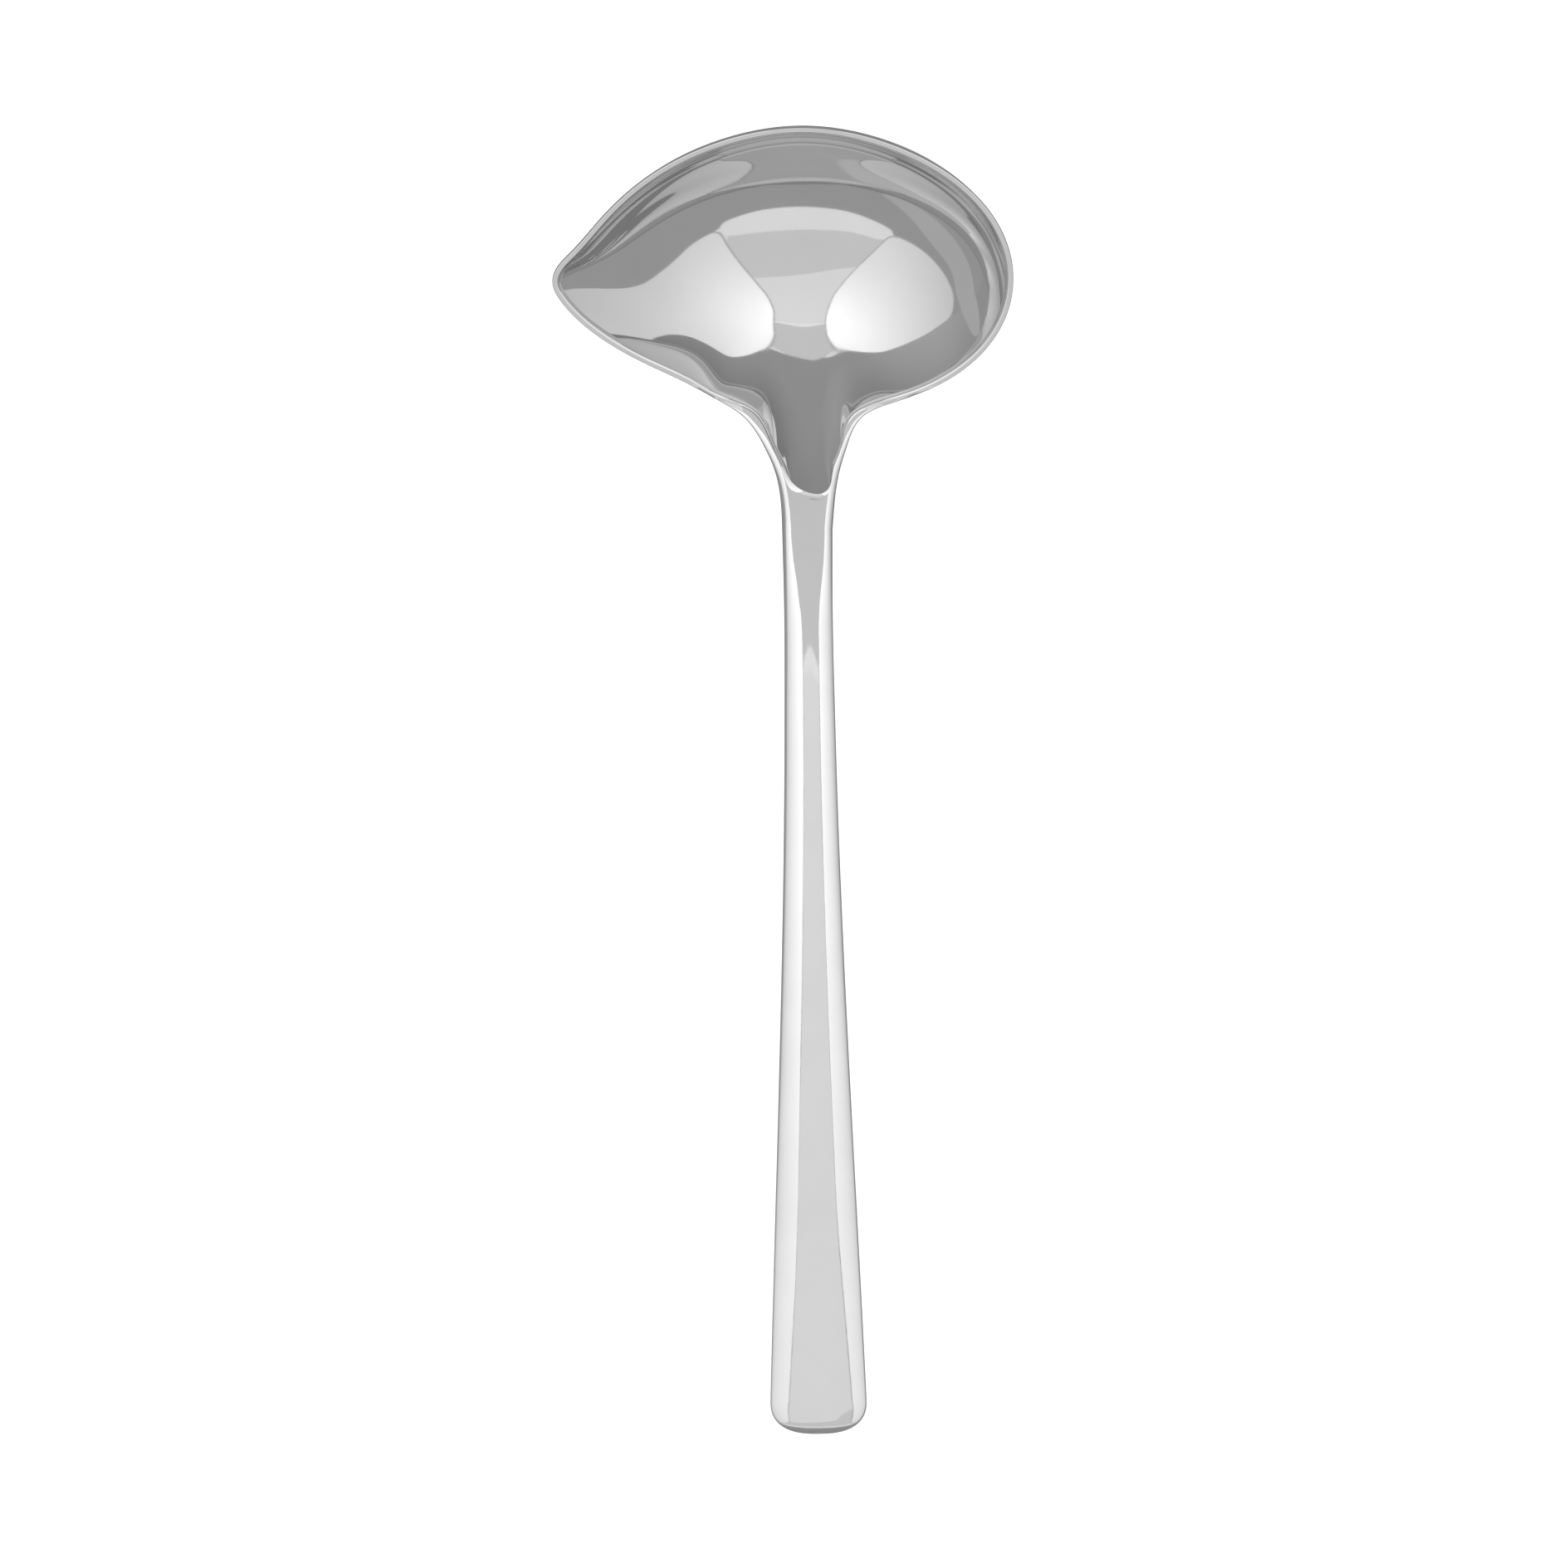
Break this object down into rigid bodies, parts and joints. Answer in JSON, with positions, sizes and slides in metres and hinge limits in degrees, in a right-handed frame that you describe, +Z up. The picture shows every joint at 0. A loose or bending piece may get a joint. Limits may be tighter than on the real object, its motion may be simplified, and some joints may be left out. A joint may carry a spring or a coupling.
{
  "type": "sauce ladle",
  "caption": "Polished sauce ladle: oval tilted bowl with a side pouring lip, hollowed neck and solid tapered arched handle.",
  "frame": {"origin": "on the table that the ladle lies on, under the middle of its bounding box", "axes": "+Z up from the table, +Y from the handle's end towards the bowl, +X to the side away from the pouring lip"},
  "size_m": [0.0652, 0.185, 0.0257],
  "materials": {
    "polished_silver": "mirror polished with faint hand-polishing lines"
  },
  "bodies": {
    "root": {"bowl": "polished_silver", "handle": "polished_silver"}
  },
  "joints": []
}
